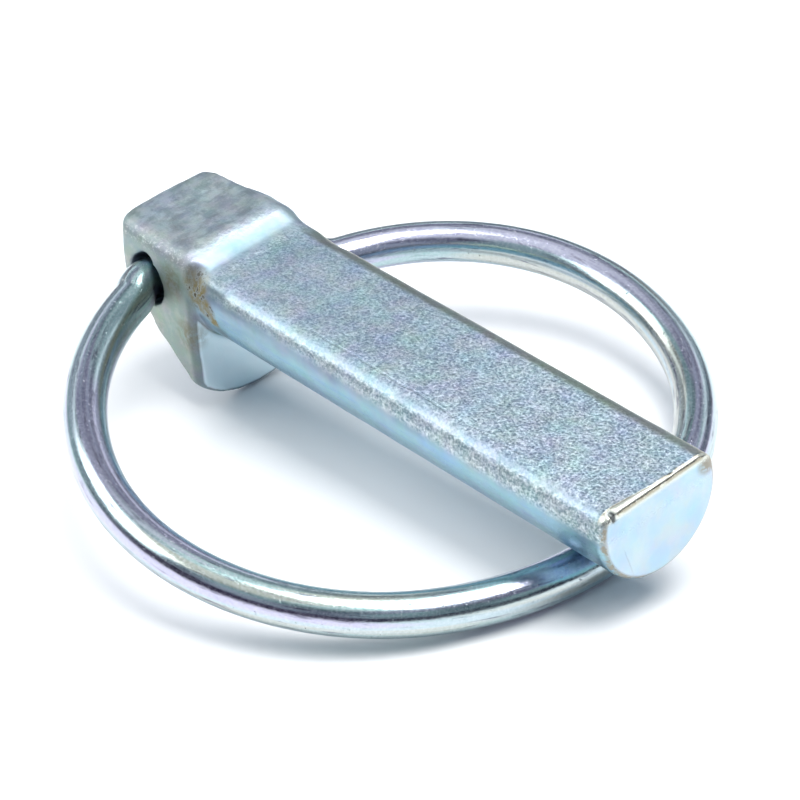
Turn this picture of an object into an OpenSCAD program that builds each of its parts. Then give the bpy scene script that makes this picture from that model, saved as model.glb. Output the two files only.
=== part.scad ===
// Linch pin: a forged pin with a D-shaped shank and a sprung wire ring that
// turns in a slanted hole through the head. The origin is on the shank's axis
// at the head's shoulder, +X runs to the tip and +Z stands off the flat.

/* [Shank] */
// Diameter of the shank's round side
shank_d = 10; // [8:0.5:12]
// Height of the flat above the shank's axis
flat_h = 1.95; // [1:0.05:3]
// Turn of the flat about the shank's axis, as the forging left it
flat_turn = 4.5; // [0:0.5:6]
// Radius of the long edges beside the flat
edge_r = 1.5; // [0.8:0.1:1.8]
// Length of shank past the middle of the ring's wire
tip_over = 5.6; // [3:0.1:8]
// Chamfer round the tip
tip_chamfer = 0.35; // [0.1:0.05:0.8]

/* [Head] */
// Length of the head along the shank
head_l = 9.4; // [9:0.1:11]
// Width of the head at the shoulder
head_w = 10.2; // [10.2:0.1:12]
// Width that the head loses towards its back on the near side
near_taper = 0.3; // [0:0.1:0.8]
// Width that the head loses towards its back on the far side
far_taper = 2.1; // [1:0.1:2.4]
// How far forward of its far corner the back's near corner is
back_skew = 0.7; // [0:0.1:1]
// Height of the head's top above the flat
head_step = 0.95; // [0.5:0.05:1.6]
// Depth of the head's toe below the shank's axis
head_drop = 9.9; // [9:0.1:12]
// Radius of the toe, seen from the tip
toe_r = 7; // [6:0.1:8]
// Rounding of the head's edges
head_r = 1.2; // [0.8:0.1:1.4]
// Rounding of the edge between the head's top and its far side
far_r = 1.8; // [1:0.1:2]
// Rounding of the edges beside the shoulder
shoulder_r = 0.8; // [0.5:0.1:1]
// Length of the slope from the flat up to the head's top
step_l = 2.4; // [1.6:0.1:3]
// Fillets at the foot and the crest of the slope
fillet_r = 2; // [1:0.1:3]

/* [Hole] */
// Running room all round the wire in its hole
hole_room = 0.45; // [0.3:0.05:0.5]
// How far back along the head the middle of the hole is, as a share of its length
hole_share = 0.532; // [0.512:0.01:0.552]
// Depth of the middle of the hole below the shank's axis
hole_depth = 1.5; // [1.2:0.1:1.8]
// How much nearer the shank the hole is at its far mouth
hole_lead = 0.8; // [0:0.1:1]
// How much lower the hole is at its far mouth
hole_fall = 0.6; // [0:0.1:1]

/* [Ring] */
// Diameter of the ring's wire
wire_d = 3; // [2.6:0.1:3.4]
// Mean radius of the ring
ring_r = 20.5; // [18:0.5:26]
// Gap between the closed ring and the shank that it rests against
rest_gap = 0.15; // [0.1:0.05:0.4]
// Radius of the bends where the wire turns into the hole
bend_r = 2.5; // [2:0.1:3]
// Gap between the wire's two ends inside the hole
end_gap = 2.4; // [1:0.2:4]

/* [Hidden] */
$fn = 96;
shank_r = shank_d / 2;
wire_r = wire_d / 2;
top_h = flat_h + head_step;
foot_l = step_l / 2 + fillet_r;
corner_z = flat_h - edge_r;
corner_y = sqrt(pow(shank_r - edge_r, 2) - pow(corner_z, 2));
// How deep the shank is rooted in the head
root = 1;
// How far the head's back leans in towards its heel, and the heel's depth
back_lean = 0.9;
heel_h = 1.4;
// Thickness of the toe, how far it is drawn past its round outline, and where
// the slope above it starts
toe_l = 0.9;
toe_room = 0.2;
knee_l = 1.6;
knee_h = 7.7;
hole_mid = [-hole_share * head_l, 0, -hole_depth];

// The ring's loop lies in one plane and is a chain of arcs. Each row is the
// radius as a share of ring_r, then the angle. Both sides start at the middle
// of the flatter stretch that bears on the shank.
bearing_arc = [1.12, 29.5];
near_arcs = [bearing_arc, [0.925, 79], [1.14, 48.5]];
far_arcs = [bearing_arc, [0.925, 54.5]];
// The far arm goes on from there, rolled out of the loop's plane
far_arm = [0.878, 72.6];
far_roll = 8;
reach = 1.965 * ring_r;
ring_shift = -0.5;
// Band round each joint between two lengths of the wire, a hair fuller than it
joint_swell = 0.03;
joint_l = 0.2;
// Straight stretch between the loop and the first bend at each end
near_lead = 0.7;
far_lead = 1.4;
// How far outside the head's two sides the wire bends
near_out = 0.4;
far_out = 0.7;
droop = asin((shank_r + wire_r + rest_gap - hole_depth) / reach);
tip_x = hole_mid.x + reach * cos(droop) + tip_over;

// A point of the hole's axis at a distance y across the head
near_mouth = head_w / 2 - near_taper * hole_share;
far_mouth = head_w / 2 - far_taper * hole_share;
hole_dir = [hole_lead, near_mouth + far_mouth, -hole_fall];
function on_hole(y) = hole_mid + hole_dir * y / hole_dir.y;

// Rows of a chain turned so far, and where the chain has got to on one side
function turned(arcs, n) = n == 0 ? 0 : turned(arcs, n - 1) + arcs[n - 1][1];
function arc_mid(arcs, n, side) =
    chain_end(arcs, n, side) - arcs[n][0] * ring_r * spoke(turned(arcs, n), side);
function chain_end(arcs, n, side) = n == 0 ? [reach, ring_shift] :
    arc_mid(arcs, n - 1, side)
    + arcs[n - 1][0] * ring_r * spoke(turned(arcs, n), side);
function spoke(angle, side) = [cos(angle), side * sin(angle)];

// From the loop's plane to the part's frame
function laid(p) = hole_mid + [
    p.x * cos(droop) + p.z * sin(droop), p.y, p.z * cos(droop) - p.x * sin(droop)];
function spun(p, angle) = [
    p.x * cos(angle) - p.y * sin(angle), p.x * sin(angle) + p.y * cos(angle), p.z];
function unit(v) = v / norm(v);

// Wire along an arc about the origin, in the XY plane
module arc_wire(radius, from, angle) {
    rotate_extrude(angle = angle, start = from)
        translate([radius, 0])
            circle(wire_r, $fn = 48);
}

// Straight wire between two points
module rod(p, q) {
    d = q - p;
    translate(p)
        rotate([0, acos(d.z / norm(d)), atan2(d.y, d.x)])
            cylinder(h = norm(d), r = wire_r, $fn = 48);
}

// Length that a bend at point b takes from each of its two legs
function bend_angle(a, b, c) = acos(unit(b - a) * unit(c - b));
function bend_cut(a, b, c) = bend_r * tan(bend_angle(a, b, c) / 2);

// Bend at b, on the way from a to c
module bend(a, b, c) {
    along = unit(b - a);
    inward = unit(unit(c - b) - along * cos(bend_angle(a, b, c)));
    up = cross(along, inward);
    start = b - along * bend_cut(a, b, c);
    multmatrix([
        [along.x, inward.x, up.x, start.x],
        [along.y, inward.y, up.y, start.y],
        [along.z, inward.z, up.z, start.z]])
        translate([0, bend_r, 0])
            arc_wire(bend_r, -90, bend_angle(a, b, c));
}

// Length of wire cut short at both ends, with a joint at its start
module leg(a, b, cut_a, cut_b) {
    along = unit(b - a);
    joint(a + along * cut_a, along);
    rod(a + along * cut_a, b - along * cut_b);
}

// Wire from the loop's end a, by bends at b and c, to its own end at d
module wire_end(a, b, c, d) {
    cut_b = bend_cut(a, b, c);
    cut_c = bend_cut(b, c, d);
    leg(a, b, 0, cut_b);
    joint(b - unit(b - a) * cut_b, unit(b - a));
    bend(a, b, c);
    leg(b, c, cut_b, cut_c);
    joint(c - unit(c - b) * cut_c, unit(c - b));
    bend(b, c, d);
    leg(c, d, cut_c, 0);
}

// Band that joins two lengths of wire at p, where they run along the same way
module joint(p, way) {
    translate(p)
        rotate([0, acos(way.z), atan2(way.y, way.x)])
            cylinder(h = joint_l, r = wire_r + joint_swell, center = true, $fn = 48);
}

// The arcs of one side after the bearing arc, each with a joint at its start
module loop_side(arcs, side) {
    for (n = [1 : len(arcs) - 1]) {
        from = turned(arcs, n);
        start = chain_end(arcs, n, side);
        joint([start.x, start.y, 0], [-sin(from), side * cos(from), 0]);
        translate(arc_mid(arcs, n, side))
            arc_wire(arcs[n][0] * ring_r, side > 0 ? from : -from - arcs[n][1], arcs[n][1]);
    }
}

module ring() {
    near_turn = turned(near_arcs, 3);
    near_a = chain_end(near_arcs, 3, -1);
    near_b = near_a - near_lead * [sin(near_turn), cos(near_turn)];
    far_turn = turned(far_arcs, 2);
    far_start = chain_end(far_arcs, 2, 1);
    arm_r = far_arm[0] * ring_r;
    arm_tip = arm_r * [sin(far_arm[1]), 1 - cos(far_arm[1])];
    arm_lead = arm_tip + far_lead * [cos(far_arm[1]), sin(far_arm[1])];
    function on_arm(p) = [far_start.x, far_start.y, 0]
        + spun([p.x, p.y * cos(far_roll), -p.y * sin(far_roll)], 90 + far_turn);
    color("lightsteelblue") {
        translate(hole_mid)
            rotate([0, droop, 0]) {
                translate(arc_mid(near_arcs, 0, -1))
                    arc_wire(bearing_arc[0] * ring_r, -bearing_arc[1], 2 * bearing_arc[1]);
                loop_side(near_arcs, -1);
                loop_side(far_arcs, 1);
                joint([far_start.x, far_start.y, 0], [-sin(far_turn), cos(far_turn), 0]);
                translate(far_start)
                    rotate([0, 0, 90 + far_turn])
                        rotate([-far_roll, 0, 0])
                            translate([0, arm_r, 0])
                                arc_wire(arm_r, -90, far_arm[1]);
            }
        wire_end(laid([near_a.x, near_a.y, 0]), laid([near_b.x, near_b.y, 0]),
            on_hole(-near_mouth - near_out), on_hole(-end_gap / 2));
        wire_end(laid(on_arm(arm_tip)), laid(on_arm(arm_lead)),
            on_hole(far_mouth + far_out), on_hole(end_gap / 2));
    }
}

// Outline given as x, y and radius at each corner, where a radius of 0 is sharp
module rounded(corners) {
    n = len(corners);
    steps = 8;
    function at(i) = [corners[(i + n) % n].x, corners[(i + n) % n].y];
    function to(i, j) = unit(at(j) - at(i));
    function half(i) = acos(to(i, i - 1) * to(i, i + 1)) / 2;
    function mid(i) = at(i)
        + unit(to(i, i - 1) + to(i, i + 1)) * corners[i].z / sin(half(i));
    // From the corner's middle to where its arc leaves the edge towards corner j
    function foot(i, j) = at(i) + to(i, j) * corners[i].z / tan(half(i)) - mid(i);
    function heading(v) = atan2(v.y, v.x);
    function sweep(i) = (heading(foot(i, i + 1)) - heading(foot(i, i - 1)) + 540) % 360 - 180;
    polygon([for (i = [0 : n - 1])
        if (corners[i].z == 0) at(i)
        else for (step = [0 : steps])
            let (angle = heading(foot(i, i - 1)) + sweep(i) * step / steps)
                mid(i) + corners[i].z * [cos(angle), sin(angle)]]);
}

// What the flat leaves of the shank's section: both long edges are rounded and
// run on down along the round side
module flat_outline() {
    edge_dir = unit([corner_y, corner_z]);
    top_y = (shank_r - flat_h * edge_dir.y) / edge_dir.x;
    low_y = (shank_r + shank_d * edge_dir.y) / edge_dir.x;
    rounded([
        [top_y, flat_h, edge_r], [-top_y, flat_h, edge_r],
        [-low_y, -shank_d, 0], [low_y, -shank_d, 0]]);
}

// The shank, rooted inside the head
module shank() {
    intersection() {
        rotate([0, 90, 0])
            rotate_extrude()
                polygon([
                    [0, -root], [shank_r, -root], [shank_r, tip_x - tip_chamfer],
                    [shank_r - tip_chamfer, tip_x], [0, tip_x]]);
        rotate([flat_turn, 0, 0])
            translate([-2 * root, 0, 0])
                rotate([90, 0, 90])
                    linear_extrude(tip_x + 4 * root)
                        flat_outline();
    }
}

// Side outline of the head's lower half: a heel, a slope and a toe
module low_side() {
    rounded([
        [foot_l, 2 * top_h, 0], [foot_l, corner_z, 0], [0, corner_z, 0],
        [0, -head_drop - toe_room, shoulder_r], [-toe_l, -head_drop - toe_room, shoulder_r / 2],
        [-knee_l, -knee_h, shoulder_r], [-head_l + back_lean, -heel_h, head_r],
        [-2 * head_l, 2 * top_h, 0]]);
}

// Side outline of its upper half, turned with the flat: a back that leans in
// below, and a slope whose foot dips just under the flat before the shoulder
module top_side() {
    lean = back_lean / (top_h + heel_h);
    rounded([
        [-head_l + lean * (top_h + head_drop), -head_drop, 0], [-head_l, top_h, head_r],
        [-step_l / 2, top_h, fillet_r], [step_l / 2, flat_h, fillet_r],
        [foot_l + root, flat_h - joint_swell, 0], [foot_l + root, -2 * head_drop, 0],
        [-head_l + lean * (top_h + head_drop), -2 * head_drop, 0]]);
}

// Outline seen from the tip: a top turned with the flat over a round toe
module head_front() {
    w = head_w / 2;
    tilt = w * tan(flat_turn);
    intersection() {
        rounded([
            [w, top_h + tilt, far_r], [-w, top_h - tilt, head_r],
            [-w, -2 * head_drop, head_r], [w, -2 * head_drop, head_r]]);
        translate([0, toe_r - head_drop])
            union() {
                circle(toe_r);
                translate([-toe_r, 0])
                    square([2 * toe_r, 2 * toe_r]);
            }
    }
}

// Outline seen from above, narrower and a little askew at the back
module head_plan() {
    w = head_w / 2;
    rounded([
        [0, w, shoulder_r / 2], [-head_l, w - far_taper, head_r],
        [-head_l + back_skew, -w + near_taper, head_r], [0, -w, shoulder_r / 2]]);
}

// The forged head, where its three outlines meet, with the slope before it
module head() {
    intersection() {
        rotate([flat_turn, 0, 0])
            translate([0, 2 * head_w, 0])
                rotate([90, 0, 0])
                    linear_extrude(4 * head_w)
                        top_side();
        translate([0, head_w, 0])
            rotate([90, 0, 0])
                linear_extrude(2 * head_w)
                    low_side();
        union() {
            intersection() {
                translate([-2 * head_l, 0, 0])
                    rotate([90, 0, 90])
                        linear_extrude(3 * head_l)
                            head_front();
                translate([0, 0, -2 * head_drop])
                    linear_extrude(4 * head_drop)
                        head_plan();
            }
            rotate([0, 90, 0])
                translate([0, 0, -root])
                    cylinder(h = root + foot_l, r = shank_r - joint_swell);
        }
    }
}

module pin() {
    color("lightslategray")
        difference() {
            union() {
                head();
                shank();
            }
            translate(hole_mid - hole_dir)
                rotate([0, acos(hole_dir.z / norm(hole_dir)), atan2(hole_dir.y, hole_dir.x)])
                    cylinder(h = 2 * norm(hole_dir), r = wire_r + hole_room);
        }
}

pin();
ring();
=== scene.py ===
import bmesh
import bpy
from math import asin, cos, radians, sin, tan
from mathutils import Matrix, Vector


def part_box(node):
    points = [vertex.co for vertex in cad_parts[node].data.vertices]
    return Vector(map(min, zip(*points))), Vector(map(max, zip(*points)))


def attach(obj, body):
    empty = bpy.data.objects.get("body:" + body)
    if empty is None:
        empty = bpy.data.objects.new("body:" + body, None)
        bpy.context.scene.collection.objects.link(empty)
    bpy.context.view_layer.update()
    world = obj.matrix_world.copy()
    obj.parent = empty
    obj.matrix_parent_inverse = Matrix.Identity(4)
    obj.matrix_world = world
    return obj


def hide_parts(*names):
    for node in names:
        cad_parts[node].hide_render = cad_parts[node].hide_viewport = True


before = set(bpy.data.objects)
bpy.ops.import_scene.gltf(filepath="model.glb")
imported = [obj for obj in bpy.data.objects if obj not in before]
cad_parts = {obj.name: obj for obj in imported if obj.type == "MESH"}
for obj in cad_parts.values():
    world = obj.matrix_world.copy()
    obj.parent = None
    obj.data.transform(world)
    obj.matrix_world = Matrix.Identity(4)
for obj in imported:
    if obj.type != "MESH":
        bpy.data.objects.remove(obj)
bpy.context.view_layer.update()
mm = 0.001

# A socket of a node tree: sums and products on it add the Math nodes


class Socket:
    def __init__(self, tree, socket):
        self.tree = tree
        self.socket = socket

    def math(self, operation, *values):
        return node(self.tree, "ShaderNodeMath", {"operation": operation},
                    dict(enumerate((self,) + values)))

    def __add__(self, other):
        return self.math("ADD", other)

    def __sub__(self, other):
        return self.math("SUBTRACT", other)

    def __mul__(self, other):
        return self.math("MULTIPLY", other)

    def __pow__(self, other):
        return self.math("POWER", other)

    def __abs__(self):
        return self.math("ABSOLUTE")

    def __rsub__(self, other):
        return node(self.tree, "ShaderNodeMath", {"operation": "SUBTRACT"}, {0: other, 1: self})

    __radd__ = __add__
    __rmul__ = __mul__

    def clamp(self):
        return node(self.tree, "ShaderNodeClamp", {}, {0: self})

    def over(self, low, high):                      # 0 at low, 1 at high, eased between
        return node(self.tree, "ShaderNodeMapRange", {"interpolation_type": "SMOOTHSTEP"},
                    {0: self, 1: low, 2: high})

    def under(self, low, high):                     # 1 at low, 0 at high, eased between
        return 1 - self.over(low, high)

    def largest(self, other):
        return self.math("MAXIMUM", other)

    def part(self, name):
        return node(self.tree, "ShaderNodeSeparateXYZ", {}, {0: self}, name)


def node(tree, kind, settings, values, output=0):
    made = tree.nodes.new(kind)
    for key, value in settings.items():
        setattr(made, key, value)
    for key, value in values.items():
        target = made.inputs[key]
        if isinstance(value, Socket):
            tree.links.new(value.socket, target)
        else:
            target.default_value = value
    return Socket(tree, made.outputs[output])


def vectorMath(operation, vector, values, output=0):
    return node(vector.tree, "ShaderNodeVectorMath", {"operation": operation},
                {0: vector} | values, output)


def inMm(place):                                    # a place in metres, given in millimetres
    return vectorMath("SCALE", place, {"Scale": 1 / mm})


def stretched(place, stretch):
    return vectorMath("MULTIPLY", place, {1: stretch})


def spot(place, centre, size, soft):                # 1 at the centre, 0 past its size
    return vectorMath("DISTANCE", place, {1: centre}, "Value").over(size, size * (1 - soft))


def spots(place, marks):                            # all the marks of a list, added up
    total = 0
    for centre, size, soft, strength, stretch in marks:
        total = total + spot(stretched(place, stretch), centre, size, soft) * strength
    return total


def noise(tree, place, scale, detail, roughness, distortion=0.0, output=0):
    return node(tree, "ShaderNodeTexNoise", {},
                {"Vector": place, "Scale": scale, "Detail": detail,
                 "Roughness": roughness, "Distortion": distortion}, output)


def mixColour(tree, factor, a, b, blend="MIX"):
    def paint(c):
        return c if isinstance(c, Socket) else tuple(c) + (1.0,)
    return node(tree, "ShaderNodeMix", {"data_type": "RGBA", "blend_type": blend},
                {0: factor, 6: paint(a), 7: paint(b)}, 2)


def layered(tree, colour, tints, masks):            # each tint in turn, where its mask lets it
    for name, mask in masks.items():
        colour = mixColour(tree, mask, colour, tints[name])
    return colour


def startMaterial(name):
    material = bpy.data.materials.new(name)
    material.use_nodes = True
    material.node_tree.nodes.clear()
    return material, material.node_tree


def endMaterial(tree, colour, metal, rough, height, relief):
    strength, depth = relief
    bump = node(tree, "ShaderNodeBump", {},
                {"Strength": strength, "Distance": depth * mm, "Height": height})
    finish = node(tree, "ShaderNodeBsdfPrincipled", {},
                  {"Base Color": colour, "Metallic": metal, "Roughness": rough.clamp(),
                   "Normal": bump})
    surface = tree.nodes.new("ShaderNodeOutputMaterial").inputs["Surface"]
    tree.links.new(finish.socket, surface)


# The camera, from above the near side of the tip

view = {
    "place": (0.167285, -0.124483, 0.130951),
    "turn": (55.478, 3.003, 48.544),
    "lens": 158.85,
    "sensor": 36.0,
    "nearest": 0.005,
}


def makeCamera(values):
    data = bpy.data.cameras.new("studioCamera")
    data.lens = values["lens"]
    data.sensor_width = values["sensor"]
    data.clip_start = values["nearest"]
    camera = bpy.data.objects.new("studioCamera", data)
    camera.location = values["place"]
    camera.rotation_euler = [radians(a) for a in values["turn"]]
    bpy.context.scene.collection.objects.link(camera)
    bpy.context.scene.camera = camera


makeCamera(view)
print("stage 1: camera set")

# Geometry trees: a group with named inputs, its end, and the plain mesh it gives


def startTree(name, inputs):
    tree = bpy.data.node_groups.new(name, "GeometryNodeTree")
    tree.interface.new_socket("Geometry", in_out="INPUT", socket_type="NodeSocketGeometry")
    for label, value in inputs.items():
        kind = "NodeSocketInt" if isinstance(value, int) else "NodeSocketFloat"
        tree.interface.new_socket(label, in_out="INPUT", socket_type=kind)
    tree.interface.new_socket("Geometry", in_out="OUTPUT", socket_type="NodeSocketGeometry")
    entry = tree.nodes.new("NodeGroupInput")
    return tree, {s.name: Socket(tree, s) for s in entry.outputs if s.name}


def endTree(tree, shape, material):
    smooth = node(tree, "GeometryNodeSetShadeSmooth", {"domain": "FACE"}, {"Geometry": shape})
    real = node(tree, "GeometryNodeRealizeInstances", {}, {"Geometry": smooth})
    done = node(tree, "GeometryNodeSetMaterial", {}, {"Geometry": real, "Material": material})
    tree.links.new(done.socket, tree.nodes.new("NodeGroupOutput").inputs[0])


def grow(piece, tree, inputs):
    modifier = piece.modifiers.new(tree.name, "NODES")
    modifier.node_group = tree
    names = {s.name: s.identifier for s in tree.interface.items_tree
             if s.item_type == "SOCKET" and s.in_out == "INPUT"}
    for label, value in inputs.items():
        modifier[names[label]] = value


def addPiece(name, mesh):
    piece = bpy.data.objects.new(name, mesh)
    bpy.context.scene.collection.objects.link(piece)
    return piece


def settle(piece):                                  # its modifiers become its mesh
    graph = bpy.context.evaluated_depsgraph_get()
    mesh = bpy.data.meshes.new_from_object(piece.evaluated_get(graph))
    piece.modifiers.clear()
    old = piece.data
    piece.data = mesh
    bpy.data.meshes.remove(old)


# Blue-white zinc on the forging: a pitted flat, drawn sides and a cut end

even = (1.0, 1.0, 1.0)

forging = {                     # lengths in millimetres
    "turn": radians(4.5),       # the flat's turn about the shank's axis
    "tip": 40.5455,
    "weld": 0.0005,
    "voxel": 0.17,
    "smoothing": (0.5, 4),      # its factor and its rounds
    "grainHeight": 0.028,
    "grainSize": 0.55,
    "coarseRun": (4.0, 34.0),   # along the shank, where the grain coarsens
    "wander": 0.05,             # the forged faces' slow unevenness
    "wanderSize": 3.125,
    "dip": 0.16,                # the hollow in the head's top
    "dipAt": -4.4,
    "lip": 0.06,                # the burr at the cut end
    "lipWidth": 0.9,
    "backPush": 0.2,            # the near half of the head's back stands out by this
    "easing": 26,               # rounds of blur at the seam and the corners
    "relief": (0.6, 0.1),       # the bump's strength and depth
    "nicks": (                  # each mark has a centre, size, softness, strength and stretch
        ((0.1, -4.7, 1.05), 1.1, 0.9, 0.25, (1.2, 1.0, 0.7)),
        ((40.4, -8.8, 1.45), 0.7, 0.8, 0.2, (1.0, 2.2, 1.0)),
        ((40.1, 1.13, 2.05), 0.35, 0.7, 0.12, even),
    ),
    "darkNicksAndPaintedShade": (
        # painted shadow on the near side of the shank, just past the shoulder
        ((2.3, -4.35, -2.5), 1.2, 0.9, 0.7, even),
        ((40.2, 1.13, 2.05), 0.22, 0.5, 1.0, even),
        ((40.35, -8.8, 1.45), 0.6, 0.5, 1.0, (1.0, 2.2, 1.0)),
        ((0.0, -4.7, 1.05), 1.0, 0.5, 0.45, (1.2, 1.0, 0.7)),
    ),
    "stainMarks": (             # the yellow-brown stain runs down from the notch
        ((0.3, -4.8, 1.0), 1.5, 0.7, 1.0, even),
        ((0.7, -4.95, 0.0), 1.5, 0.8, 1.0, even),
        ((1.4, -4.95, -0.7), 1.1, 0.6, 1.0, even),
        ((1.9, -4.85, -1.5), 0.7, 0.6, 1.0, even),
    ),
    "oliveMarks": (             # beside the hole
        ((-2.3, -5.0, 0.2), 1.9, 0.9, 0.8, even),
        ((-0.9, -5.0, -3.6), 1.9, 0.9, 0.8, even),
    ),
    "rimMarks": (
        ((40.4, 4.1, 1.4), 1.1, 0.7, 1.0, even),
    ),
    "tints": {
        "slate": (0.21, 0.30, 0.37),
        "greyBlue": (0.33, 0.42, 0.48),
        "flatBright": (0.66, 0.76, 0.83),
        "flatPit": (0.10, 0.14, 0.19),
        "lowTeal": (0.26, 0.44, 0.52),
        "lowStreak": (0.23, 0.39, 0.56),
        "edgeWorn": (0.82, 0.90, 0.90),
        "edgePit": (0.16, 0.24, 0.24),
        "farEdgeOliveShade": (0.17, 0.20, 0.17),
        # painted shade along the far edge, tinted olive
        "farRimPaintedHighlight": (0.46, 0.47, 0.38),
        # painted highlight along the far edge's outer rim, where it meets the silhouette
        "top": (0.46, 0.53, 0.57),
        "topMottle": (0.30, 0.37, 0.41),
        "topPale": (0.56, 0.62, 0.62),
        "topDark": (0.24, 0.28, 0.30),
        "brow": (0.30, 0.34, 0.34),
        "browPale": (0.62, 0.66, 0.66),
        "side": (0.34, 0.41, 0.38),
        "sideMottle": (0.48, 0.50, 0.49),
        "corner": (0.30, 0.37, 0.38),
        "shoulder": (0.78, 0.92, 0.97),
        "end": (0.42, 0.56, 0.68),
        "endPale": (0.50, 0.59, 0.58),
        "olive": (0.22, 0.20, 0.12),
        "stainThin": (0.30, 0.31, 0.26),
        "stainGold": (0.23, 0.18, 0.055),
        "stainSoot": (0.08, 0.06, 0.03),
        "rim": (0.26, 0.22, 0.15),
        "dark": (0.10, 0.11, 0.11),
        # pale burr at the cut end: painted highlight along it
        "lip": (0.66, 0.68, 0.60),
        "lipLine": (0.24, 0.20, 0.13),
    },
    "hueShare": 0.2,            # a faint play of hues over the whole
    "roughness": 0.40,
    "metallic": 0.96,
}


def forgingPlace(position):
    place = inMm(position)
    y, z = place.part("Y"), place.part("Z")
    c, s = cos(forging["turn"]), sin(forging["turn"])
    return place, place.part("X"), y * c + z * s, z * c - y * s     # then across and above the flat


def lipStart(across, width):                        # the lip is wider on its near side
    return forging["tip"] - width + 0.5 * across.over(-4.5, 1.0)


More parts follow.
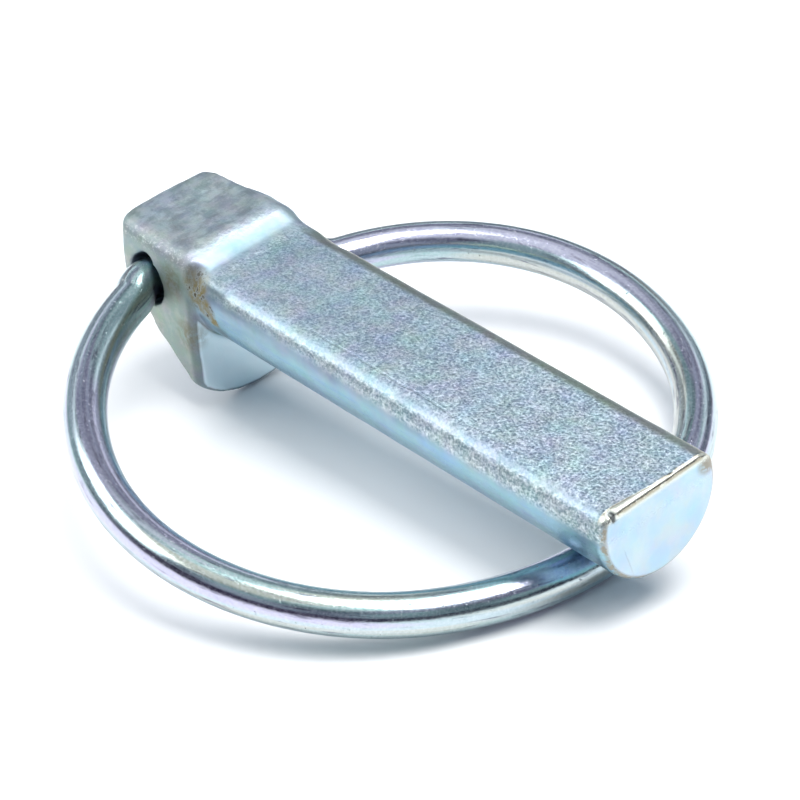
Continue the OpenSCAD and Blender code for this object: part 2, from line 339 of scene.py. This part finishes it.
def makeForgedZinc(values):
    material, tree = startMaterial("forgedZinc")
    coordinates = node(tree, "ShaderNodeTexCoord", {}, {}, "Object")
    place, x, across, above = forgingPlace(coordinates)
    y, z = place.part("Y"), place.part("Z")
    tip = values["tip"]

    # where each face of the forging lies
    flat = above.over(1.5, 1.9) * x.over(0.7, 1.6) * above.under(2.2, 2.5)
    coarse = x.over(*values["coarseRun"])
    edge = above.under(1.2, 1.75) * above.over(0.7 - coarse * 0.9, 1.3 - coarse * 0.8) \
        * across.under(-3.4, -2.6) * x.over(1.0, 4.0)
    # the far edge, where shade is painted
    farEdgeOliveShade = across.over(3.3, 3.8) * above.over(-0.5, 0.8) * x.over(1, 3)
    low = above.under(-0.7, 0.7) * x.over(0.2, 1.5)
    head = x.under(-0.6, 0.4)
    top = head * above.over(2.4, 2.8)
    side = head * y.under(-4.9, -4.4) * above.under(1.6, 2.4)
    brow = head * across.under(-4.7, -3.3) * above.over(1.0, 2.2)
    end = x.over(tip - 0.12, tip - 0.03)
    radius = (y * y + z * z) ** 0.5                     # from the shank's axis
    facing = node(tree, "ShaderNodeTexCoord", {}, {}, "Normal").part("X").over(0.86, 0.99)
    shoulder = facing * x.over(-0.5, -0.3) * x.under(0.15, 0.3) * radius.over(4.95, 5.15)
    corner = x.over(-1.1, -0.5) * (1 - facing) * x.under(0.1, 0.2) \
        * above.under(-0.5, 0.5) * radius.over(4.7, 4.9)

    # grain, from fine to broad
    fine = noise(tree, place, 8.0, 3.0, 0.7)
    grain = noise(tree, stretched(place, (0.8, 1.0, 1.0)), 4.4, 4.0, 0.75, 0.6)
    cells = node(tree, "ShaderNodeTexVoronoi", {"feature": "F1"},
                 {"Vector": stretched(place, (0.85, 1.1, 1.0)), "Scale": 4.6, "Randomness": 1.0},
                 "Distance")
    speck = noise(tree, stretched(place, (1.0, 1.0, 0.6)), 2.4, 3.0, 0.7)
    blot = noise(tree, place, 1.9, 4.0, 0.65)
    streaks = noise(tree, stretched(place, (0.12, 1.6, 1.6)), 1.6, 4.0, 0.6)
    drawn = noise(tree, stretched(place, (1.3, 0.45, 1.0)), 1.0, 4.0, 0.65)
    mottle = noise(tree, place, 0.9, 4.0, 0.65)
    hues = noise(tree, place, 0.55, 3.0, 0.6, 0.0, 1)
    patches = noise(tree, place, 0.35, 3.0, 0.6)

    # colour
    tints = values["tints"]
    speckle = (grain - 0.5) * 1.5 + (fine - 0.5) * 1.2 + (cells - 0.4) * 0.5
    colour = mixColour(tree, patches.over(0.3, 0.7), tints["slate"], tints["greyBlue"])
    colour = layered(tree, colour, tints, {
        "flatBright": flat * (0.45 + 0.4 * coarse) * (0.38 + speckle * 1.3).clamp(),
        "flatPit": flat * (0.42 - speckle * 1.3).clamp() * (0.5 + 0.4 * coarse),
        "lowTeal": low,
        "lowStreak": low * streaks.over(0.45, 0.65) * 0.6,
        "edgeWorn": edge * (0.3 + speckle * 1.2).clamp(),
        "edgePit": edge * (0.3 - speckle * 1.2).clamp() * (0.3 + coarse * 0.7),
        # painted shade on the far edge, and a painted highlight on its rim
        "farEdgeOliveShade": farEdgeOliveShade * 0.8,
        "farRimPaintedHighlight": farEdgeOliveShade * across.over(4.3, 4.6),
        "top": top,
        "topMottle": top * mottle.over(0.42, 0.58) * 0.8,
        "topPale": top * drawn.over(0.50, 0.62) * 0.45,
        "topDark": top * drawn.under(0.38, 0.50) * 0.45,
        "brow": brow,
        "browPale": brow * grain.over(0.5, 0.66) * 0.8,
        "side": side,
        "sideMottle": side * mottle.over(0.45, 0.7) * 0.6,
        "corner": corner * 0.7,
        "shoulder": shoulder,
        "end": end,
        "endPale": end * hues.part("X").over(0.38, 0.65) * 0.45,
    })
    colour = mixColour(tree, values["hueShare"], colour, hues, "OVERLAY")

    # stains, dark nicks, a painted shadow past the shoulder, and the lip at the cut end, painted
    # pale as its highlight
    stain = spots(place, values["stainMarks"]).clamp()
    olive = spots(place, values["oliveMarks"]) * blot.over(0.3, 0.6)
    # dark nicks, and a painted shadow just past the shoulder
    dark = spots(place, values["darkNicksAndPaintedShade"]).clamp()
    rim = x.over(tip - 0.5, tip - 0.2) * (1 - end) * blot.over(0.42, 0.56)
    rim = rim + x.over(tip - 0.3, tip - 0.1) * radius.over(4.5, 4.7) * 0.6
    rim = (rim + spots(place, values["rimMarks"]) * blot.over(0.3, 0.5)).clamp()
    start = lipStart(across, values["lipWidth"] - 0.05)
    lip = x.over(start, start + 0.2) * above.over(1.2, 1.7)
    outline = lip * x.under(start + 0.15, start + 0.3) \
        + x.over(tip - 0.1, tip - 0.04) * above.over(1.5, 1.75)
    colour = layered(tree, colour, tints, {
        "olive": olive,
        "stainThin": stain * 0.7,
        "stainGold": stain * speck.over(0.44, 0.54) * (0.45 + blot.over(0.4, 0.6) * 0.55),
        "stainSoot": stain * speck.under(0.34, 0.42),
        "rim": rim * 0.85,
        # dark nicks and a painted shadow past the shoulder
        "dark": dark,
        # the burr, painted pale as its highlight
        "lip": lip * (1 - dark),
        "lipLine": outline * blot.over(0.35, 0.5) * 0.7,
    })
    rough = values["roughness"] + (fine - 0.5) * 0.25 + flat * 0.10 - end * 0.08 - low * 0.10 \
        + stain * 0.3 - lip * 0.15 + (side + brow).clamp() * 0.2 + corner * 0.3
    metal = (values["metallic"] - stain * 0.75 - olive * 0.3 - rim * 0.3).clamp()

    # relief
    pits = (flat * (0.75 + 0.5 * coarse) + edge * (0.35 + 0.6 * coarse)) * (1 - lip * 0.85) \
        + top * 0.4 + brow * 0.5 + 0.08
    height = (grain * 0.7 + fine * 0.35 + cells * 0.35) * pits \
        + streaks * (low * 0.25 + head * 0.25)
    scratch = abs(across + 3.5 + (patches - 0.5) * 0.5).under(0.04, 0.14) \
        * flat * x.over(11.0, 13.0) * x.under(31.0, 34.0)
    crease = abs(y + 0.335 * z + 3.62).under(0.02, 0.14) * end * z.under(-1.9, -1.2)
    height = height - scratch * 0.6 - crease * 0.8
    endMaterial(tree, colour, metal, rough, height, values["relief"])
    return material


# Bright drawn wire: fine lines along it, darkened as painted reflection bands, and a few pits

drawnWire = {
    "tints": {
        "plain": (0.44, 0.53, 0.58),
        "teal": (0.34, 0.50, 0.50),     # the passivated zinc's hues
        "violet": (0.50, 0.45, 0.64),
        "straw": (0.50, 0.46, 0.36),
        "glint": (0.85, 0.88, 0.92),
        # dark lines: die lines darkened as painted reflection bands
        "scoreAndReflectionBand": (0.12, 0.12, 0.18),
        "pit": (0.12, 0.13, 0.14),
        # painted shade where the wire goes into the hole
        "holeShade": (0.14, 0.10, 0.14),
    },
    "holeShadeMarks": (                    # painted shade on the wire at the hole's mouth
        ((-3.9, -5.6, -1.7), 1.5, 0.8, 0.75, even),
    ),
    "roughness": 0.2,
    "lineDepth": 0.3,
    "relief": (0.4, 0.05),
}


def makeSpringZinc(values):
    material, tree = startMaterial("springZinc")
    lay = node(tree, "ShaderNodeAttribute", {"attribute_name": "wireLay"}, {}, "Vector")
    place = inMm(node(tree, "ShaderNodeTexCoord", {}, {}, "Object"))
    lines = noise(tree, stretched(lay, (1.0, 1.0, 0.06)), 5.0, 5.0, 0.65)
    bands = noise(tree, stretched(lay, (1.0, 1.0, 0.02)), 1.3, 3.0, 0.6)
    hue = noise(tree, stretched(lay, (1.2, 1.2, 0.03)), 1.1, 2.0, 0.5)
    grit = noise(tree, place, 5.0, 3.0, 0.7)
    pitted = noise(tree, place, 2.6, 4.0, 0.7).over(0.64, 0.72)

    tints = values["tints"]
    colour = mixColour(tree, bands.over(0.35, 0.65), tints["plain"], tints["teal"])
    colour = layered(tree, colour, tints, {
        "violet": hue.over(0.50, 0.60) * 0.7,
        "straw": hue.under(0.36, 0.46) * 0.55,
        "glint": (grit - 0.5) * 0.8 + 0.1,
        # die lines along the wire, darkened as painted reflection bands
        "scoreAndReflectionBand": lines.over(0.55, 0.68) * 0.75,
        "pit": pitted * 0.7,
        # painted shade where the wire goes into the hole
        "holeShade": spots(place, values["holeShadeMarks"]),
    })
    rough = values["roughness"] + (lines - 0.5) * 0.25 + (grit - 0.5) * 0.25 + pitted * 0.25
    height = lines * values["lineDepth"] + grit * 0.25 - pitted * 0.6
    endMaterial(tree, colour, 1.0, rough, height, values["relief"])
    return material


forgedZinc = makeForgedZinc(forging)
springZinc = makeSpringZinc(drawnWire)
print("stage 2: two zinc finishes made")

# The ring: its wire follows a chain of arcs, then bends into the slanted hole

wire = {
    "radius": 1.5,
    "ringRadius": 20.5,
    "reachShare": 1.965,
    "shift": -0.5,
    "restGap": 0.15,
    "shankRadius": 5.0,
    "bearing": (1.12, 29.5),            # shares of the ring's radius, and degrees
    "nearArcs": ((0.925, 79.0), (1.14, 48.5)),
    "farArcs": ((0.925, 54.5),),
    "farArm": (0.878, 72.6),
    "farRoll": 8.0,
    "nearLead": 0.7,
    "farLead": 1.4,
    "nearOut": 0.4,
    "farOut": 0.7,
    "bend": 2.5,
    "endGap": 2.4,
    "holeMid": (-5.0008, 0.0, -1.5),
    "holeRun": (0.8, -0.6),             # how far it leads and falls on its way across
    "nearMouth": 4.9404,
    "farMouth": 3.9828,
    "arcStep": 1.5,                     # in degrees
    "armSteps": 48,
    "cornerSteps": 12,
    "sides": 36,
    "step": 0.3,
}


def degreeCos(a):
    return cos(radians(a))


def degreeSin(a):
    return sin(radians(a))


def roundedCorner(a, b, c, radius, steps):          # points of the arc that takes the corner at b
    before, after = (b - a).normalized(), (c - b).normalized()
    turn = before.angle(after)
    start = b - before * radius * tan(turn / 2)
    inward = (after - before * cos(turn)).normalized()
    return [start + before * radius * sin(turn * k / steps)
            + inward * radius * (1 - cos(turn * k / steps)) for k in range(steps + 1)]


def arcRun(v, arcs, side):                          # one side's arcs, from the bearing's middle on
    mid = Vector((v["reachShare"] * v["ringRadius"], v["shift"]))
    angle, points = 0.0, []
    for share, turn in (v["bearing"],) + arcs:
        radius = share * v["ringRadius"]
        centre = mid - radius * Vector((degreeCos(angle), side * degreeSin(angle)))
        steps = int(turn / v["arcStep"])
        for k in range(1, steps + 1):
            a = angle + turn * k / steps
            points.append(centre + radius * Vector((degreeCos(a), side * degreeSin(a))))
        mid, angle = points[-1], angle + turn
    return points, angle


def wirePath(v):
    reach = v["reachShare"] * v["ringRadius"]
    mid = Vector(v["holeMid"])
    droop = asin((v["shankRadius"] + v["radius"] + v["restGap"] + mid.z) / reach)

    def laid(x, y, z=0.0):
        return mid + Vector((x * cos(droop) + z * sin(droop), y, z * cos(droop) - x * sin(droop)))

    run = Vector((v["holeRun"][0], v["nearMouth"] + v["farMouth"], v["holeRun"][1]))

    def onHole(y):
        return mid + run * y / run.y

    def bentEnd(*points):                           # out of the loop and into the hole
        return roundedCorner(*points[:3], v["bend"], v["cornerSteps"]) \
            + roundedCorner(*points[1:], v["bend"], v["cornerSteps"]) + [points[3]]

    near, nearAngle = arcRun(v, v["nearArcs"], -1)
    nearEnd = near[-1] - v["nearLead"] * Vector((degreeSin(nearAngle), degreeCos(nearAngle)))
    a, b = laid(*near[-1]), laid(*nearEnd)
    c, d = onHole(-v["nearMouth"] - v["nearOut"]), onHole(-v["endGap"] / 2)
    nearWire = [laid(*p) for p in near] + bentEnd(a, b, c, d)

    far, farAngle = arcRun(v, v["farArcs"], 1)
    start, armRadius, sweep = far[-1], v["farArm"][0] * v["ringRadius"], v["farArm"][1]
    steps = v["armSteps"]

    def onArm(x, y):
        out, up = y * degreeCos(v["farRoll"]), -y * degreeSin(v["farRoll"])
        c1, s1 = degreeCos(90 + farAngle), degreeSin(90 + farAngle)
        return laid(start.x + x * c1 - out * s1, start.y + x * s1 + out * c1, up)

    turns = [sweep * k / steps for k in range(1, steps + 1)]
    arm = [(armRadius * degreeSin(a), armRadius * (1 - degreeCos(a))) for a in turns]
    lead = (arm[-1][0] + v["farLead"] * degreeCos(sweep),
            arm[-1][1] + v["farLead"] * degreeSin(sweep))
    a, b = onArm(*arm[-1]), onArm(*lead)
    c, d = onHole(v["farMouth"] + v["farOut"]), onHole(v["endGap"] / 2)
    farWire = [laid(*p) for p in far] + [onArm(*p) for p in arm] + bentEnd(a, b, c, d)
    return [p * mm for p in farWire[::-1] + [laid(reach, v["shift"])] + nearWire]


def stored(tree, kind, name, geometry, value):
    return node(tree, "GeometryNodeStoreNamedAttribute", {"data_type": kind, "domain": "POINT"},
                {"Geometry": geometry, "Name": name, "Value": value})


def recalled(tree, kind, name):
    return node(tree, "GeometryNodeInputNamedAttribute", {"data_type": kind}, {"Name": name})


def drawWire(v):
    path = wirePath(v)
    mesh = bpy.data.meshes.new("springRing")
    mesh.from_pydata(path, [(i, i + 1) for i in range(len(path) - 1)], [])
    ring = addPiece("springRing", mesh)
    inputs = {"Wire Radius": v["radius"] * mm, "Sides": v["sides"], "Step": v["step"] * mm}
    tree, entry = startTree("drawnWire", inputs)
    line = node(tree, "GeometryNodeMeshToCurve", {}, {"Mesh": entry["Geometry"]})
    line = node(tree, "GeometryNodeResampleCurve", {"mode": "LENGTH"},
                {"Curve": line, "Length": entry["Step"]})
    gone = node(tree, "GeometryNodeSplineParameter", {}, {}, "Length")
    line = stored(tree, "FLOAT", "gone", line, gone * (1 / mm))
    section = node(tree, "GeometryNodeCurvePrimitiveCircle", {"mode": "RADIUS"},
                   {"Resolution": entry["Sides"], "Radius": entry["Wire Radius"]})
    outward = vectorMath("NORMALIZE", node(tree, "GeometryNodeInputPosition", {}, {}), {})
    section = stored(tree, "FLOAT_VECTOR", "round", section, outward)
    tube = node(tree, "GeometryNodeCurveToMesh", {},
                {"Curve": line, "Profile Curve": section, "Fill Caps": True})
    turned, gone = recalled(tree, "FLOAT_VECTOR", "round"), recalled(tree, "FLOAT", "gone")
    lay = node(tree, "ShaderNodeCombineXYZ", {},
               {"X": turned.part("X"), "Y": turned.part("Y"), "Z": gone})
    tube = stored(tree, "FLOAT_VECTOR", "wireLay", tube, lay)
    endTree(tree, tube, springZinc)
    grow(ring, tree, inputs)
    settle(ring)
    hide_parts("ring")
    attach(ring, "ring")
    return ring


springRing = drawWire(wire)
print("stage 3: ring drawn,", len(springRing.data.polygons), "faces")

# The forging: the solid's own form, with the rounding and unevenness that the dies leave


def forgePin(v):
    shape = bmesh.new()
    shape.from_mesh(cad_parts["pin"].data)
    bmesh.ops.remove_doubles(shape, verts=shape.verts, dist=v["weld"] * mm)
    mesh = bpy.data.meshes.new("forgedPin")
    shape.to_mesh(mesh)
    shape.free()
    pin = addPiece("forgedPin", mesh)
    remesh = pin.modifiers.new("evenSkin", "REMESH")
    remesh.mode = "VOXEL"
    remesh.voxel_size = v["voxel"] * mm
    ease = pin.modifiers.new("ease", "SMOOTH")
    ease.factor, ease.iterations = v["smoothing"]

    inputs = {"Grain Height": v["grainHeight"], "Grain Scale": 1 / v["grainSize"],
              "Wander": v["wander"], "Wander Scale": 1 / v["wanderSize"], "Dip": v["dip"],
              "Lip": v["lip"], "Back Push": v["backPush"], "Easing": v["easing"]}
    tree, entry = startTree("forgedSkin", inputs)
    position = node(tree, "GeometryNodeInputPosition", {}, {})
    normal = node(tree, "GeometryNodeInputNormal", {}, {})
    place, x, across, above = forgingPlace(position)
    z = place.part("Z")
    tip = v["tip"]

    # how far each face stands out
    flat = above.over(1.4, 1.9) * x.over(2.0, 3.2)
    edge = across.under(-3.6, -2.8) * above.over(-0.6, 0.8) * x.over(1.5, 3.0)
    head = x.under(-1.4, -0.2)
    grain = noise(tree, place, entry["Grain Scale"], 2.0, 0.6)
    slow = noise(tree, place, entry["Wander Scale"], 2.0, 0.5)
    coarse = x.over(*v["coarseRun"])
    height = (grain - 0.5) * entry["Grain Height"] * (flat + edge * (0.4 + coarse) + 0.2 * head) * 2
    height = height + (slow - 0.5) * entry["Wander"] * (0.6 + head * 1.6) * 2
    hollow = abs(x - v["dipAt"]).under(0.4, 3.0) * above.over(2.3, 2.7) \
        * (0.5 + across.over(-3, 4) * 0.5)
    height = height - hollow * entry["Dip"]
    start = lipStart(across, v["lipWidth"])
    lip = x.over(start, start + 0.3) * x.under(tip - 0.3, tip) * above.over(1.2, 1.7)
    height = height * (1 - lip * 0.8) + lip * entry["Lip"]
    height = height + x.under(-8.9, -8.3) * across.under(-3.0, 3.0) * entry["Back Push"]
    outer = 1 - spot(stretched(place, (1.0, 0.0, 1.0)), (-5.0, 0.0, -1.5), 2.5, 0.1)
    height = (height * outer - spots(place, v["nicks"])) * mm       # plain inside the hole
    offset = vectorMath("SCALE", normal, {"Scale": height})

    # the head runs into the shank without a hard line, and its corners are blunt
    seam = x.over(-2.4, -1.2) * x.under(4.4, 5.6) * above.over(-1.5, -0.3)
    corners = x.under(-8.6, -7.4) * above.over(-2.0, 0.0) * 0.12 \
        + x.under(-0.9, -0.1) * above.over(0.9, 1.4) * across.under(-4.4, -3.4) * 0.8 \
        + z.under(-6.5, -5.0) * 0.15
    rollOff = across.under(-3.2, -2.2) * above.over(0.0, 1.0) \
        * x.over(2.0, 4.0) * x.under(38.8, 39.8)
    weight = seam.largest(corners.clamp()).largest(rollOff)
    eased = node(tree, "GeometryNodeBlurAttribute", {"data_type": "FLOAT_VECTOR"},
                 {"Value": position, "Iterations": entry["Easing"], "Weight": weight})
    shape = node(tree, "GeometryNodeSetPosition", {},
                 {"Geometry": entry["Geometry"], "Position": eased})
    moved = node(tree, "GeometryNodeSetPosition", {}, {"Geometry": shape, "Offset": offset})
    endTree(tree, moved, forgedZinc)
    grow(pin, tree, inputs)
    settle(pin)
    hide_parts("pin")
    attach(pin, "pin")
    return pin


forgedPin = forgePin(forging)
print("stage 4: pin forged,", len(forgedPin.data.polygons), "faces")

# A plain pale floor under the toe and the ring, soft lights, and a room for the zinc to mirror

studio = {
    "floorSize": 1.2,
    "floorColour": (0.97, 0.972, 0.975),
    "floorRoughness": 0.9,
    "floorGap": 0.02,               # millimetres, as the next two
    "toeAt": -0.5,                  # the toe touches the floor here along the shank
    "ringAt": 40.0,                 # and the ring this far from the hole
    "overhead": {
        "place": (0.12, 0.10, 0.42), "aim": (0.12, 0.09, 0.0), "size": (0.32, 0.34), "power": 2.2,
    },
    "frontLeft": {
        "place": (-0.26, -0.22, 0.26), "aim": (0.02, 0.0, 0.0), "size": (0.34, 0.24), "power": 0.85,
    },
}

room = {
    "towardsViewer": (0.76, 0.65),
    "low": ((0.16, 0.17, 0.22), (0.44, 0.50, 0.56)),
    "high": ((0.50, 0.52, 0.60), (1.1, 1.14, 1.16)),
    "tints": {"window": (1.5, 1.55, 1.6), "shade": (0.03, 0.02, 0.05)},
}


def layFloor(v):
    low = {n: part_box(n) for n in ("pin", "ring")}
    toe = Vector((v["toeAt"] * mm, 0, low["pin"][0][2]))
    rest = Vector((wire["holeMid"][0] * mm + v["ringAt"] * mm, 0, low["ring"][0][2]))
    along = (rest - toe).normalized()
    across = Vector((0, 1, 0))
    up = along.cross(across).normalized()
    half = v["floorSize"] / 2
    corners = [toe - up * v["floorGap"] * mm + along * half * i + across * half * j
               for i, j in ((-1, -1), (1, -1), (1, 1), (-1, 1))]
    mesh = bpy.data.meshes.new("paleFloor")
    mesh.from_pydata(corners, [], [(0, 1, 2, 3)])
    material = bpy.data.materials.new("paleFloor")
    material.use_nodes = True
    finish = material.node_tree.nodes["Principled BSDF"]
    finish.inputs["Base Color"].default_value = v["floorColour"] + (1.0,)
    finish.inputs["Roughness"].default_value = v["floorRoughness"]
    mesh.materials.append(material)
    addPiece("paleFloor", mesh)


def addLight(name, values):
    data = bpy.data.lights.new(name, "AREA")
    data.shape = "RECTANGLE"
    data.size, data.size_y = values["size"]
    data.energy = values["power"]
    lamp = bpy.data.objects.new(name, data)
    lamp.location = values["place"]
    aim = Vector(values["aim"]) - Vector(values["place"])
    lamp.rotation_euler = aim.to_track_quat("-Z", "Y").to_euler()
    bpy.context.scene.collection.objects.link(lamp)


def makeRoom(values):                               # darker low towards the viewer, pale above
    world = bpy.data.worlds.new("studioRoom")
    bpy.context.scene.world = world
    world.use_nodes = True
    tree = world.node_tree
    tree.nodes.clear()
    way = node(tree, "ShaderNodeTexCoord", {}, {}, "Generated")
    height = way.part("Z")
    toX, toY = values["towardsViewer"]
    toViewer = way.part("X") * toX - way.part("Y") * toY
    cloud = noise(tree, way, 2.4, 2.0, 0.5)
    low = mixColour(tree, cloud.over(0.42, 0.58), *values["low"])
    high = mixColour(tree, cloud.over(0.40, 0.52), *values["high"])
    colour = layered(tree, mixColour(tree, height.over(0.7, 0.92), low, high), values["tints"], {
        "window": height.over(0.40, 0.43) * height.under(0.49, 0.52) * toViewer.under(-0.6, -0.3),
        "shade": toViewer.over(-0.3, 0.25) * height.under(0.28, 0.42),
    })
    shine = node(tree, "ShaderNodeBackground", {}, {"Color": colour, "Strength": 1.0})
    tree.links.new(shine.socket, tree.nodes.new("ShaderNodeOutputWorld").inputs["Surface"])


layFloor(studio)
addLight("overheadSoftbox", studio["overhead"])
addLight("frontLeftSoftbox", studio["frontLeft"])
makeRoom(room)
bpy.context.scene.view_settings.view_transform = "Standard"
print("stage 5: floor and lights set")
